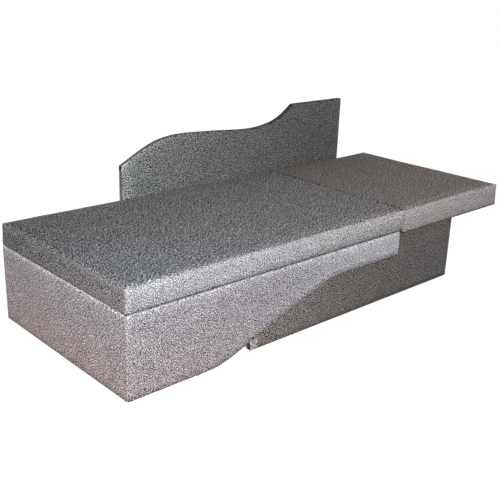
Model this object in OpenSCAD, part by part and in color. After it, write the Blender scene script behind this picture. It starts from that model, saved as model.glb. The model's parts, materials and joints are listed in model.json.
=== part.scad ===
/* [Sleeping surface] */
// Length of the bed with the carriage pulled out
bed_l = 2000; // [1900:10:2200]
// Depth of both pads, front to rear
bed_w = 784; // [640:4:960]
// Length of the fixed main pad
seat_l = 1314; // [1260:1:1400]
// Height of the main pad at its edges
pad_h = 87; // [70:1:130]
// Rise of a pad from its edges to its middle
pad_crown = 3; // [1:0.5:8]
// Corner radius of a pad's free corners, seen from above
pad_corner_r = 10; // [8:1:40]
// Corner radius of a pad at the seam, seen from above
seam_corner_r = 5; // [3:0.5:16]
// Radius of the edge round a pad's top
pad_edge_r = 9; // [4:0.5:11]
// How far a pad's sides draw in between their corners
pad_pull = 3; // [0:0.5:8]
// Open seam between the two pads
seam_gap = 1; // [0.9:0.1:3]

/* [Outer box] */
// Height of the outer box, from the floor to the main pad
box_h = 289; // [250:1:340]
// How far the front panel's right end stays back from the main pad's end
panel_setback = 16; // [10:1:80]
// Thickness of the wave-cut front board
front_board_t = 12; // [9:0.5:18]
// Thickness of the left end board
end_board_t = 16; // [12:0.5:20]
// Distance from the left end to the start of the wave cut
wave_start = 318; // [240:1:400]
// Distance from the left end to the top of the wave cut
wave_end = 945; // [800:1:1100]
// Height of the front panel's lower edge right of the wave
wave_h = 192; // [140:1:215]
// Height of the nail-on glides
glide_h = 3; // [2:0.5:8]
// Radius of the nail-on glides
glide_r = 7; // [5:0.5:8]

/* [Carriage] */
// Length of the carriage box
carriage_l = 1170; // [1050:1:1250]
// Distance that the carriage slides
travel = 490; // [400:1:520]
// Space left between the closed carriage and the end panel
closed_gap = 9.5; // [2:0.5:20]
// Thickness of the carriage's boards
carriage_board_t = 16; // [12:0.5:20]
// Thickness of the carriage's floor panel
floor_t = 4; // [3:0.5:10]
// Thickness of the slide rails between the carriage and the main pad
slide_rail_t = 13; // [8:0.5:20]
// Width of the slide rails
slide_rail_w = 60; // [50:1:90]

/* [Back board] */
// Length of the back board
back_l = 1280; // [1180:1:1400]
// How far the back board stands past the carriage's left end
back_lead = 4; // [2:1:20]
// Height of the back board at its left end
back_low_h = 503; // [440:1:560]
// Height of the back board's raised right part
back_high_h = 665; // [600:1:760]
// Thickness of the back board
back_board_t = 16; // [12:0.5:20]

/* [Pad frames] */
// Thickness of the main pad's timber rails
rail_t = 20; // [15:1:24]
// Width of the timber rails
rail_w = 40; // [30:1:60]
// Thickness of the deck sheets under the foam
deck_t = 4; // [3:0.5:8]
// Cross rails of the main pad
seat_cross_count = 4; // [3:1:6]
// Cross rails of the extension pad
flap_cross_count = 3; // [3:1:5]

/* [Rollers] */
// Radius of a floor roller
roller_r = 18; // [14:1:24]
// Width of a floor roller
roller_w = 15; // [12:1:22]
// Radius of a roller's axle
axle_r = 3; // [2.5:0.5:4]
// Distance of a roller from the carriage's ends
roller_inset_x = 86; // [80:1:140]
// Distance of a roller from the carriage's front and rear
roller_inset_y = 68; // [50:1:120]
// Thickness of a roller bracket's sheet steel
bracket_t = 2; // [1.5:0.5:3]

/* [Coverings] */
// Thickness of the upholstery fabric
cover_t = 1.5; // [1:0.1:2.5]
// Thickness of the wadding under the fabric of the panels
padding_t = 2.5; // [1:0.5:5]
// Width of the fabric turned in behind a panel
turn_in = 25; // [15:1:35]
// Thickness of the dust cloth under the pads and behind the back board
dust_t = 0.6; // [0.4:0.1:1]

/* [Clearances] */
// Gap between the outer front panel and the carriage
running_gap = 2; // [1:0.5:5]
// Gap between the pads and the back board
back_gap = 3; // [2:0.5:8]
// Gap of a sliding face and of a soft piece
slide_gap = 0.3; // [0.2:0.05:0.6]
// Radial gap of a roller on its axle and of a screw in its hole
bore_gap = 0.06; // [0.03:0.01:0.1]

/* [Hidden] */
$fn = 48;
overrun = 1;

// Thickness of the fabric and wadding, and of the covered panels
skin = cover_t + padding_t;
front_t = skin + front_board_t + cover_t;
end_t = skin + end_board_t + cover_t;
wall_t = skin + carriage_board_t + cover_t;
back_t = skin + back_board_t + cover_t;

// Places along the length, the depth and the height
panel_l = seat_l - panel_setback;
flap_x = seat_l + seam_gap;
flap_l = bed_l - flap_x;
carriage_x = end_t + closed_gap + travel;
carriage_end = carriage_x + carriage_l;
carriage_y = front_t + running_gap;
back_x = carriage_x - back_lead;
back_end = back_x + back_l;
back_y = bed_w + back_gap;
depth = back_y + back_t;
carriage_top = box_h - slide_rail_t - slide_gap;
pad_top = box_h + pad_h;
inner_y = carriage_y + wall_t;
inner_left = carriage_x + skin + carriage_board_t;
inner_right = carriage_end - wall_t;

// The bottom of each pad, its frame and its deck
frame_z = box_h + cover_t;
deck_z = frame_z + rail_t;
foam_z = deck_z + deck_t + slide_gap;
flap_z = carriage_top + slide_gap;
flap_frame_z = flap_z + cover_t;
flap_rail_t = deck_z - flap_frame_z;

// The fold line of the extension pad, just above both crowns
fold_x = seat_l + seam_gap / 2;
fold_z = pad_top + pad_crown + slide_gap / 2;

// The wave of the front panel climbs in a straight ramp with eased ends
ease_share = 0.15;
wave_steps = 28;
function eased(t) = t < ease_share ? t * t / (2 * ease_share * (1 - ease_share))
    : t > 1 - ease_share ? 1 - (1 - t) * (1 - t) / (2 * ease_share * (1 - ease_share))
    : (t - ease_share / 2) / (1 - ease_share);

// Outline of the front panel, drawn in by d, as length and height
function front_outline(d) = concat(
    [[d, box_h - d], [d, glide_h + d]],
    [for (i = [0:wave_steps]) let (t = i / wave_steps)
        [wave_start + (wave_end - wave_start) * t, glide_h + d + (wave_h - glide_h) * eased(t)]],
    [[panel_l - d, wave_h + d], [panel_l - d, box_h - d]]);

// Crests and dips of the back board's top, as shares of its length and of its rise
back_wave_shares = [[0, 0], [0.1, 0.39], [0.165, 0.54], [0.24, 0.585], [0.36, 0.545],
    [0.525, 0.465], [0.615, 0.525], [0.68, 0.69], [0.739, 1]];
back_steps = 5;
function clamped(i) = min(max(i, 0), len(back_wave_shares) - 1);
function knot(i) = back_wave_shares[clamped(i)];
// A point of the smooth curve that starts at knot i and passes through all of them
function curve_share(i, t) = let (a = knot(i), b = knot(i + 1))
    let (p = (b - knot(i - 1)) / 2, q = (knot(i + 2) - a) / 2)
    a + p * t + (3 * (b - a) - 2 * p - q) * t * t + (2 * (a - b) + p + q) * t * t * t;
back_curve = concat([for (i = [0:len(back_wave_shares) - 2]) for (k = [0:back_steps - 1])
    curve_share(i, k / back_steps)], [knot(len(back_wave_shares) - 1), [1, 1]]);

// Outline of the back panel, drawn in by d, as length and height
function back_outline(d) = concat(
    [[back_end - d, glide_h + d], [back_x + d, glide_h + d]],
    [for (p = back_curve) [min(max(back_x + back_l * p[0], back_x + d), back_end - d),
        back_low_h + (back_high_h - back_low_h) * p[1] - d]]);

// One pad: the outline is a rectangle with round corners and drawn-in sides
arc_steps = 4;
long_spots = 11;
short_spots = 7;
seam_round_share = 0.15;
least_corner_r = pad_corner_r / 8;
// Radius of a corner beside a free side (1) or the seam (0) on a ring drawn in by inset
function ring_corner_r(side, inset) = side == 1 ? max(pad_corner_r - inset, least_corner_r)
    : max(seam_corner_r - inset * seam_round_share, least_corner_r);
function corner_arc(cx, cy, r, a) = [for (i = [0:arc_steps])
    [cx + r * cos(a + 90 * i / arc_steps), cy + r * sin(a + 90 * i / arc_steps)]];
function side_line(a, b, n, pull) = [for (i = [1:n]) let (t = i / (n + 1))
    a + (b - a) * t + pull * sin(180 * t)];

// One ring of a pad: insets and pulls are [right, rear, left, front], r the right corners' radius
// and q the left corners'
function pad_ring(l, w, insets, pulls, r, q) = let (
    x0 = insets[2], x1 = l - insets[0], y0 = insets[3], y1 = w - insets[1])
    concat(
        corner_arc(x1 - r, y0 + r, r, -90),
        side_line([x1, y0 + r], [x1, y1 - r], short_spots, [-pulls[0], 0]),
        corner_arc(x1 - r, y1 - r, r, 0),
        side_line([x1 - r, y1], [x0 + q, y1], long_spots, [0, -pulls[1]]),
        corner_arc(x0 + q, y1 - q, q, 90),
        side_line([x0, y1 - q], [x0, y0 + q], short_spots, [pulls[2], 0]),
        corner_arc(x0 + q, y0 + q, q, 180),
        side_line([x0 + q, y0], [x1 - r, y0], long_spots, [0, pulls[3]]));

// Side and edge rings of a pad drawn in by d, from height z0 up, as [inset, height, pull share]
function pad_levels(d, z0) = concat(
    [[d, z0, 0], [d, max(z0 + d, foam_z), 0], [d, (foam_z + pad_top) / 2, 1]],
    [for (a = [0:30:90]) [pad_edge_r - (pad_edge_r - d) * cos(a),
        pad_top - pad_edge_r + (pad_edge_r - d) * sin(a), 1]]);

// The crown's rings, as shares of the way from the middle to the edge
crown_shares = [0.85, 0.6, 0.3];

// sides holds 1 for a free side and 0 for the side at the seam
module pad_form(l, w, sides, d, z0) {
    levels = pad_levels(d, z0);
    top = levels[len(levels) - 1];
    rings = [for (v = levels) [for (p = pad_ring(l, w,
        [for (s = sides) s == 1 ? v[0] : d + (v[0] - d) * seam_round_share],
        [for (s = sides) s * v[2] * pad_pull], ring_corner_r(sides[0], v[0]),
        ring_corner_r(sides[2], v[0])))
        [p[0], p[1], v[1]]]];
    edge = rings[len(rings) - 1];
    middle = [l / 2, w / 2, top[1]];
    crown = [for (s = crown_shares) [for (p = edge)
        middle + (p - middle) * s + [0, 0, pad_crown * (1 - s * s)]]];
    all_rings = concat(rings, crown);
    n = len(edge);
    last = len(all_rings) - 1;
    polyhedron(
        points = concat([for (ring = all_rings) for (p = ring) p],
            [[l / 2, w / 2, z0], middle + [0, 0, pad_crown]]),
        faces = concat(
            [for (k = [0:last - 1]) for (i = [0:n - 1]) let (j = (i + 1) % n)
                [k * n + i, (k + 1) * n + i, (k + 1) * n + j]],
            [for (k = [0:last - 1]) for (i = [0:n - 1]) let (j = (i + 1) % n)
                [k * n + i, (k + 1) * n + j, k * n + j]],
            [for (i = [0:n - 1]) [(last + 1) * n, i, (i + 1) % n]],
            [for (i = [0:n - 1]) [(last + 1) * n + 1, last * n + (i + 1) % n, last * n + i]]));
}

// Side lists of the main pad and of the extension pad: right, rear, left, front
seat_sides = [0, 1, 1, 1];
flap_sides = [1, 1, 0, 1];

// A timber frame clears the round corners of the cover that holds it
frame_inset = cover_t + slide_gap + pad_corner_r * (1 - sqrt(1 / 2));

// Moves the whole object to its origin: the middle of its footprint, on the floor
module placed() {
    translate([-bed_l / 2, -depth / 2, 0]) children();
}

// A block from its lowest to its highest corner
module block(lo, hi) {
    translate(lo) cube(hi - lo);
}

// A flat shape drawn in length and height, standing from depth a to depth b
module upright(a, b) {
    translate([0, b, 0]) rotate([90, 0, 0]) linear_extrude(height = b - a) children();
}

// Screws: a countersunk head and a shank along +Z from the face of the piece
screw_r = 2.5;
screw_head_r = 5;
screw_head_h = 4;
screw_l = 48;
short_screw_l = 22;
module screw(l, gap) {
    cylinder(r1 = screw_head_r + gap, r2 = screw_r + gap, h = screw_head_h);
    cylinder(r = screw_r + gap, h = l + gap);
}

screw_height_shares = [0.2, 0.5, 0.8];
end_board_mid = skin + end_board_t / 2;

// Screws through the front board into the edge of the end board
module outer_screw_set(gap) {
    for (s = screw_height_shares) translate([end_board_mid, skin, box_h * s]) rotate([-90, 0, 0])
        screw(screw_l, gap);
}

// Screws that hold the cleat to the end board and the front rail to the front board
side_screw_shares = [0.2, 0.5, 0.8];
side_screw_z = box_h - slide_rail_t / 2;
cleat_w = 36;
side_screw_bite = 12;
module side_screw_set(gap) {
    for (s = side_screw_shares) {
        translate([end_t + cleat_w, bed_w * s, side_screw_z]) rotate([0, -90, 0])
            screw(cleat_w + cover_t + side_screw_bite, gap);
        translate([end_t + (panel_l - end_t) * s, front_t + slide_rail_w, side_screw_z])
            rotate([90, 0, 0]) screw(slide_rail_w + cover_t + front_board_t / 2, gap);
    }
}

// Screws up through the slide rails into the main pad's frame
rail_screw_shares = [0.15, 0.45, 0.85];
front_rail_screw_y = turn_in + screw_head_r + slide_gap;
rear_rail_screw_y = bed_w - front_rail_screw_y;
module rail_screw_set(gap) {
    for (s = rail_screw_shares) for (y = [front_rail_screw_y, rear_rail_screw_y])
        translate([panel_l * s, y, box_h - slide_rail_t]) screw(short_screw_l, gap);
}

// The front panel of the outer box, drawn in by d, from depth a to depth b
module front_layer(d, a, b) {
    upright(a, b) polygon(front_outline(d));
}

// The end panel of the outer box, drawn in by d, from length a to length b, from depth start
module end_layer(d, a, b, start) {
    block([a, start, glide_h + d], [b, bed_w - d, box_h - d]);
}

module outer_front_board() {
    color("burlywood") placed() difference() {
        front_layer(skin, skin, front_t - cover_t);
        outer_screw_set(bore_gap);
        side_screw_set(bore_gap);
    }
}

module outer_end_board() {
    color("burlywood") placed() difference() {
        end_layer(skin, skin, end_t - cover_t, front_t);
        outer_screw_set(bore_gap);
        side_screw_set(bore_gap);
    }
}

module outer_padding() {
    color("white") placed() {
        difference() {
            front_layer(cover_t, cover_t, front_t - cover_t);
            front_layer(skin, skin, front_t);
        }
        difference() {
            end_layer(cover_t, cover_t, end_t - cover_t, front_t);
            end_layer(skin, skin, end_t, front_t - overrun);
        }
    }
}

module outer_cover() {
    color("#a5a0a5") placed() difference() {
        union() {
            difference() {
                front_layer(0, 0, front_t);
                front_layer(cover_t, cover_t, front_t - cover_t);
                front_layer(turn_in, front_t / 2, front_t + overrun);
            }
            difference() {
                end_layer(0, 0, end_t, front_t);
                end_layer(cover_t, cover_t, end_t - cover_t, front_t - overrun);
                end_layer(turn_in, end_t / 2, end_t + overrun, front_t + turn_in);
            }
        }
        outer_screw_set(bore_gap);
        side_screw_set(bore_gap);
    }
}

module outer_screws() {
    color("silver") placed() outer_screw_set(0);
}

// Glides under both ends of the end panel and under the front panel's foot
glide_inset = 40;
glide_places = [[end_t / 2, glide_inset], [end_t / 2, bed_w - glide_inset],
    [wave_start - glide_inset, front_t / 2]];
glide_bevel = 1;
module base_glides() {
    color("dimgray") placed() for (p = glide_places) translate([p[0], p[1], 0]) {
        cylinder(r1 = glide_r - glide_bevel, r2 = glide_r, h = glide_bevel);
        translate([0, 0, glide_bevel]) cylinder(r = glide_r, h = glide_h - glide_bevel);
    }
}

// Frame parts of a pad of length l at x, with rails t thick from height z
module long_rails(x, l, z, t) {
    for (y = [frame_inset, bed_w - frame_inset - rail_w])
        block([x + frame_inset, y, z], [x + l - frame_inset, y + rail_w, z + t]);
}

module cross_rails(x, l, z, t, count) {
    run = l - 2 * frame_inset - rail_w;
    for (i = [0:count - 1]) translate([x + frame_inset + run * i / (count - 1), 0, 0])
        block([0, frame_inset + rail_w, z], [rail_w, bed_w - frame_inset - rail_w, z + t]);
}

module deck_sheet(x, l) {
    block([x + frame_inset, frame_inset, deck_z],
        [x + l - frame_inset, bed_w - frame_inset, deck_z + deck_t]);
}

module pad_foam(x, l, sides) {
    translate([x, 0, 0]) pad_form(l, bed_w, sides, cover_t + slide_gap, foam_z);
}

module pad_cover(x, l, sides, z) {
    difference() {
        translate([x, 0, 0]) pad_form(l, bed_w, sides, 0, z);
        translate([x, 0, 0]) pad_form(l, bed_w, sides, cover_t, z + cover_t);
        block([x + turn_in, turn_in, z - overrun], [x + l - turn_in, bed_w - turn_in, z + 2 * cover_t]);
    }
}

// The dust cloth fills the window of the cover's underside and is stapled to the frame
module dust_sheet(x, l, z) {
    block([x + turn_in, turn_in, z + cover_t - dust_t], [x + l - turn_in, bed_w - turn_in, z + cover_t]);
}

module seat_long_rails() {
    color("burlywood") placed() difference() {
        long_rails(0, seat_l, frame_z, rail_t);
        rail_screw_set(bore_gap);
    }
}

module seat_cross_rails() {
    color("burlywood") placed() cross_rails(0, seat_l, frame_z, rail_t, seat_cross_count);
}

module seat_deck() {
    color("peru") placed() deck_sheet(0, seat_l);
}

module seat_foam() {
    color("khaki") placed() pad_foam(0, seat_l, seat_sides);
}

module seat_cover() {
    color("#75787a") placed() pad_cover(0, seat_l, seat_sides, box_h);
}

module seat_dust_sheet() {
    color("black") placed() difference() {
        dust_sheet(0, seat_l, box_h);
        rail_screw_set(bore_gap);
    }
}

module front_slide_rail() {
    color("wheat") placed() difference() {
        block([end_t, front_t, box_h - slide_rail_t], [panel_l, front_t + slide_rail_w, box_h]);
        rail_screw_set(bore_gap);
        side_screw_set(bore_gap);
    }
}

module rear_slide_rail() {
    color("wheat") placed() difference() {
        block([end_t, bed_w - slide_rail_w, box_h - slide_rail_t], [panel_l, bed_w, box_h]);
        rail_screw_set(bore_gap);
    }
}

// A cleat along the end board's top, between the two slide rails
module end_cleat() {
    color("wheat") placed() difference() {
        block([end_t, front_t + slide_rail_w, box_h - slide_rail_t],
            [end_t + cleat_w, bed_w - slide_rail_w, box_h]);
        side_screw_set(bore_gap);
    }
}

module rail_screws() {
    color("silver") placed() {
        rail_screw_set(0);
        side_screw_set(0);
    }
}

// Blocks under the slide rails that catch the carriage's left board
stop_l = 30;
stop_h = 30;
ledger_w = 30;
module pull_out_stops() {
    x = inner_left + slide_gap;
    color("wheat") placed() {
        block([x, inner_y + running_gap, box_h - slide_rail_t - stop_h],
            [x + stop_l, front_t + slide_rail_w, box_h - slide_rail_t]);
        block([x, bed_w - slide_rail_w, box_h - slide_rail_t - stop_h],
            [x + stop_l, back_y - ledger_w - running_gap, box_h - slide_rail_t]);
    }
}

// A fabric strip in the seam, sewn to both pads at its top
strip_h = 50;
module fold_hinge_strip() {
    third = seam_gap / 3;
    color("#606468") placed() block(
        [seat_l + third, pad_corner_r, pad_top - pad_edge_r - strip_h],
        [seat_l + 2 * third, bed_w - pad_corner_r, pad_top - pad_edge_r]);
}

// Screws through the carriage's front and back boards into its two end boards
left_board_mid = carriage_x + skin + carriage_board_t / 2;
right_board_mid = carriage_end - skin - carriage_board_t / 2;
module carriage_screw_set(gap) {
    for (s = screw_height_shares) for (x = [left_board_mid, right_board_mid]) {
        translate([x, carriage_y + skin, carriage_top * s]) rotate([-90, 0, 0])
            screw(screw_l, gap);
        translate([x, back_y + skin + back_board_t, carriage_top * s]) rotate([90, 0, 0])
            screw(screw_l, gap);
    }
}

module carriage_front_layer(d, a, b) {
    block([carriage_x + d, a, glide_h + d], [carriage_end - d, b, carriage_top - d]);
}

module carriage_right_layer(d, a, b, start) {
    block([a, start, glide_h + d], [b, back_y, carriage_top - d]);
}

module carriage_front_board() {
    color("burlywood") placed() difference() {
        carriage_front_layer(skin, carriage_y + skin, inner_y - cover_t);
        carriage_screw_set(bore_gap);
    }
}

module carriage_left_board() {
    color("burlywood") placed() difference() {
        block([carriage_x + skin, inner_y, glide_h + skin], [inner_left, back_y, carriage_top]);
        carriage_screw_set(bore_gap);
    }
}

module carriage_right_board() {
    color("burlywood") placed() difference() {
        carriage_right_layer(skin, inner_right + cover_t, carriage_end - skin, inner_y);
        carriage_screw_set(bore_gap);
    }
}

module carriage_padding() {
    color("white") placed() {
        difference() {
            carriage_front_layer(cover_t, carriage_y + cover_t, inner_y - cover_t);
            carriage_front_layer(skin, carriage_y + skin, inner_y);
        }
        difference() {
            carriage_right_layer(cover_t, inner_right + cover_t, carriage_end - cover_t, inner_y);
            translate([0, overrun, 0])
                carriage_right_layer(skin, inner_right, carriage_end - skin, inner_y - 2 * overrun);
        }
    }
}

module carriage_cover() {
    color("#5a5752") placed() difference() {
        union() {
            difference() {
                carriage_front_layer(0, carriage_y, inner_y);
                carriage_front_layer(cover_t, carriage_y + cover_t, inner_y - cover_t);
                carriage_front_layer(turn_in, inner_y - wall_t / 2, inner_y + overrun);
            }
            difference() {
                carriage_right_layer(0, inner_right, carriage_end, inner_y);
                translate([0, overrun, 0]) carriage_right_layer(cover_t, inner_right + cover_t,
                    carriage_end - cover_t, inner_y - 2 * overrun);
                translate([0, overrun, 0]) carriage_right_layer(turn_in, inner_right - overrun,
                    inner_right + wall_t / 2, inner_y + turn_in);
            }
        }
        carriage_screw_set(bore_gap);
    }
}

module carriage_screws() {
    color("silver") placed() carriage_screw_set(0);
}

// The back panel, drawn in by d, from depth a to depth b
module back_layer(d, a, b) {
    upright(a, b) polygon(back_outline(d));
}

module back_board() {
    color("burlywood") placed() difference() {
        back_layer(skin, back_y + skin, depth - cover_t);
        carriage_screw_set(bore_gap);
    }
}

module back_padding() {
    color("white") placed() difference() {
        back_layer(cover_t, back_y + cover_t, depth - cover_t);
        back_layer(skin, back_y + skin, depth);
        carriage_screw_set(bore_gap);
    }
}

module back_cover() {
    color("#555555") placed() difference() {
        back_layer(0, back_y, depth);
        back_layer(cover_t, back_y + cover_t, depth - cover_t);
        back_layer(turn_in, depth - back_t / 2, depth + overrun);
        carriage_screw_set(bore_gap);
    }
}

// A dust cloth closes the back panel's rear inside the turned-in fabric
module back_lining() {
    color("black") placed() back_layer(turn_in, depth - cover_t, depth - cover_t + dust_t);
}

// A ledger inside the back panel carries the rear slide rail and the extension pad
ledger_h = 40;
module rear_ledger() {
    color("wheat") placed() block([inner_left, back_y - ledger_w, carriage_top - ledger_h],
        [inner_right, back_y, carriage_top]);
}

// Heights of the roller brackets, the battens on them and the floor panel
roller_top_gap = 6;
plate_z = 2 * roller_r + roller_top_gap;
batten_z = plate_z + bracket_t;
batten_h = 20;
floor_z = batten_z + batten_h;
batten_w = 56;
roller_xs = [carriage_x + roller_inset_x, carriage_end - roller_inset_x];
roller_ys = [carriage_y + roller_inset_y, back_y - roller_inset_y];

module floor_battens() {
    color("wheat") placed() difference() {
        for (x = roller_xs)
            block([x - batten_w / 2, inner_y, batten_z], [x + batten_w / 2, back_y, floor_z]);
        bracket_screw_set(bore_gap);
    }
}

module carriage_floor() {
    color("peru") placed() block([inner_left, inner_y, floor_z], [inner_right, back_y, floor_z + floor_t]);
}

// Glue blocks in the four inner corners
corner_block_w = 28;
corner_block_h = 140;
module corner_blocks() {
    z = floor_z + floor_t;
    color("wheat") placed() {
        for (x = [inner_left, inner_right - corner_block_w])
            for (y = [inner_y, back_y - corner_block_w]) block([x, y, z],
                [x + corner_block_w, y + corner_block_w, z + corner_block_h]);
    }
}

// A bracket is a screwed plate with two cheeks that hold the axle
cheek_gap = 2;
cheek_y = roller_w / 2 + cheek_gap;
cheek_r = 8;
bracket_l = 52;
bracket_screw_x = 21;
bracket_screw_r = 2;
bracket_head_r = 4;
bracket_head_h = 2;
bracket_screw_l = 14;
module bracket_screw_set(gap) {
    for (x = roller_xs) for (y = roller_ys) for (side = [-1, 1])
        translate([x + side * bracket_screw_x, y, plate_z])
            cylinder(r = bracket_screw_r + gap, h = bracket_screw_l + gap);
}

module roller_bracket() {
    difference() {
        union() {
            block([-bracket_l / 2, -cheek_y - bracket_t, plate_z],
                [bracket_l / 2, cheek_y + bracket_t, batten_z]);
            for (y = [-cheek_y - bracket_t, cheek_y]) {
                block([-cheek_r, y, roller_r], [cheek_r, y + bracket_t, plate_z]);
                translate([0, y, roller_r]) rotate([-90, 0, 0]) cylinder(r = cheek_r, h = bracket_t);
            }
        }
        translate([0, -cheek_y - bracket_t - overrun, roller_r]) rotate([-90, 0, 0])
            cylinder(r = axle_r + bore_gap, h = 2 * (cheek_y + bracket_t + overrun));
    }
}

module roller_brackets() {
    color("lightsteelblue") placed() difference() {
        for (x = roller_xs) for (y = roller_ys) translate([x, y, 0]) roller_bracket();
        bracket_screw_set(bore_gap);
    }
}

module bracket_screws() {
    color("silver") placed() {
        bracket_screw_set(0);
        for (x = roller_xs) for (y = roller_ys) for (side = [-1, 1])
            translate([x + side * bracket_screw_x, y, plate_z - bracket_head_h])
                cylinder(r = bracket_head_r, h = bracket_head_h);
    }
}

// Each axle has a riveted head outside either cheek
rivet_r = 5;
rivet_t = 1.5;
module roller_axles() {
    half = cheek_y + bracket_t;
    color("silver") placed() for (x = roller_xs) for (y = roller_ys)
        translate([x, y - half, roller_r]) rotate([-90, 0, 0]) {
            cylinder(r = axle_r, h = 2 * half);
            translate([0, 0, -rivet_t]) cylinder(r = rivet_r, h = rivet_t);
            translate([0, 0, 2 * half]) cylinder(r = rivet_r, h = rivet_t);
        }
}

// A moulded roller: a rounded tread, a thin web and a hub
tread_bevel = 2;
web_recess = 4;
rim_t = 4;
hub_r = 7;
module roller(ix, iy) {
    outer = roller_r;
    half = roller_w / 2;
    bore = axle_r + bore_gap;
    color("gray") placed() translate([roller_xs[ix], roller_ys[iy], roller_r]) rotate([-90, 0, 0])
        rotate_extrude() polygon([
            [bore, -half], [hub_r, -half], [hub_r, web_recess - half],
            [outer - rim_t, web_recess - half], [outer - rim_t, -half], [outer - tread_bevel, -half],
            [outer, tread_bevel - half], [outer, half - tread_bevel], [outer - tread_bevel, half],
            [outer - rim_t, half], [outer - rim_t, half - web_recess], [hub_r, half - web_recess],
            [hub_r, half], [bore, half]]);
}

module roller_front_left() {
    roller(0, 0);
}

module roller_front_right() {
    roller(1, 0);
}

module roller_rear_left() {
    roller(0, 1);
}

module roller_rear_right() {
    roller(1, 1);
}

module flap_long_rails() {
    color("burlywood") placed() long_rails(flap_x, flap_l, flap_frame_z, flap_rail_t);
}

module flap_cross_rails() {
    color("burlywood") placed()
        cross_rails(flap_x, flap_l, flap_frame_z, flap_rail_t, flap_cross_count);
}

module flap_deck() {
    color("peru") placed() deck_sheet(flap_x, flap_l);
}

module flap_foam() {
    color("khaki") placed() pad_foam(flap_x, flap_l, flap_sides);
}

module flap_cover() {
    color("#75787a") placed() pad_cover(flap_x, flap_l, flap_sides, flap_z);
}

module flap_dust_sheet() {
    color("black") placed() dust_sheet(flap_x, flap_l, flap_z);
}

outer_front_board();
outer_end_board();
outer_padding();
outer_cover();
outer_screws();
base_glides();
seat_long_rails();
seat_cross_rails();
seat_deck();
seat_foam();
seat_cover();
seat_dust_sheet();
front_slide_rail();
rear_slide_rail();
end_cleat();
rail_screws();
pull_out_stops();
fold_hinge_strip();
carriage_front_board();
carriage_left_board();
carriage_right_board();
carriage_padding();
carriage_cover();
carriage_screws();
back_board();
back_padding();
back_cover();
back_lining();
rear_ledger();
floor_battens();
carriage_floor();
corner_blocks();
roller_brackets();
bracket_screws();
roller_axles();
roller_front_left();
roller_front_right();
roller_rear_left();
roller_rear_right();
flap_long_rails();
flap_cross_rails();
flap_deck();
flap_foam();
flap_cover();
flap_dust_sheet();
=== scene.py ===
import json
import math

import bmesh
import bpy
import numpy as np
from mathutils import Matrix, Vector, noise


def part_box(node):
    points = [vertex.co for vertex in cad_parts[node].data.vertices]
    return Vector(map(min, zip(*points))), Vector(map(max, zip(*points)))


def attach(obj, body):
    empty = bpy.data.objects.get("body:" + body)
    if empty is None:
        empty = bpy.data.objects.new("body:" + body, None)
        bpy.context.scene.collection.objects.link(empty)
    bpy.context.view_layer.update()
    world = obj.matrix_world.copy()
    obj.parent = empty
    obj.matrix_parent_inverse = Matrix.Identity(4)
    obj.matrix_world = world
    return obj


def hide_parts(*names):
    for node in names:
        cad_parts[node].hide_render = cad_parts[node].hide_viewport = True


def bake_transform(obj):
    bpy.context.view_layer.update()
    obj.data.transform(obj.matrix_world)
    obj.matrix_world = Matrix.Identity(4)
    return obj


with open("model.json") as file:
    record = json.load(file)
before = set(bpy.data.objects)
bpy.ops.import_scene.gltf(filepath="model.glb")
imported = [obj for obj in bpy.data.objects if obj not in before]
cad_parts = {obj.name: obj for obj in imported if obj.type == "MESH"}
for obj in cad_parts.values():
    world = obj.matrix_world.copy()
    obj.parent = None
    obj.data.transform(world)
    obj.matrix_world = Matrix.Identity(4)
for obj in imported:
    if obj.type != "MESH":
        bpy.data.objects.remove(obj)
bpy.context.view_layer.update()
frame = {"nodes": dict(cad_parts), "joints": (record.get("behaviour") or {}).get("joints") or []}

# Camera: the photographer stood off the front left corner, a little above the bed.
# Its place and lens come from fitting the corners of the boxes and pads in the photograph.


def add_object(name, data):
    """A new object in the scene."""
    obj = bpy.data.objects.new(name, data)
    bpy.context.scene.collection.objects.link(obj)
    return obj


camera_data = bpy.data.cameras.new("camera")
camera_data.lens = 56.34
camera_data.sensor_width = 36.0
camera = add_object("camera", camera_data)
bpy.context.scene.camera = camera
camera_spot = Vector((-2.15002, -2.15052, 1.25119))
yaw = 0.752230
pitch = 0.345846
roll = 0.034343
ahead = Vector((math.sin(yaw) * math.cos(pitch), math.cos(yaw) * math.cos(pitch), -math.sin(pitch)))
level = Vector((math.cos(yaw), -math.sin(yaw), 0.0))
above = level.cross(ahead)
right = level * math.cos(roll) + above * math.sin(roll)
upward = above * math.cos(roll) - level * math.sin(roll)
camera.matrix_world = Matrix.Translation(camera_spot) @ Matrix((right, upward, -ahead)).transposed().to_4x4()

# Studio: a pale floor, a soft lamp beside the camera and an even sky.
# The camera sees the floor and the sky as white paper, and the floor keeps the divan's shadow.
bpy.context.scene.view_settings.view_transform = "Standard"


def linear(code):
    """The linear colour of an sRGB hex code, with alpha 1."""
    parts = [int(code[i:i + 2], 16) / 255 for i in (1, 3, 5)]
    return [p / 12.92 if p <= 0.04045 else ((p + 0.055) / 1.055) ** 2.4 for p in parts] + [1.0]


def put(tree, kind, inputs=None, **settings):
    """Adds one node. An input is a value, the output that feeds it, or a node for its first output."""
    node = tree.nodes.new("ShaderNode" + kind)
    for key, value in settings.items():
        setattr(node, key, value)
    for key, value in (inputs or {}).items():
        if isinstance(value, bpy.types.Node):
            value = value.outputs[0]
        if isinstance(value, bpy.types.NodeSocket):
            tree.links.new(value, node.inputs[key])
        else:
            node.inputs[key].default_value = value
    return node


def bare_tree(owner):
    """The emptied node tree of a material or a world."""
    owner.use_nodes = True
    owner.node_tree.nodes.clear()
    return owner.node_tree


def bare_material(name):
    """A new material without nodes, and its node tree."""
    material = bpy.data.materials.new(name)
    return material, bare_tree(material)


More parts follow.
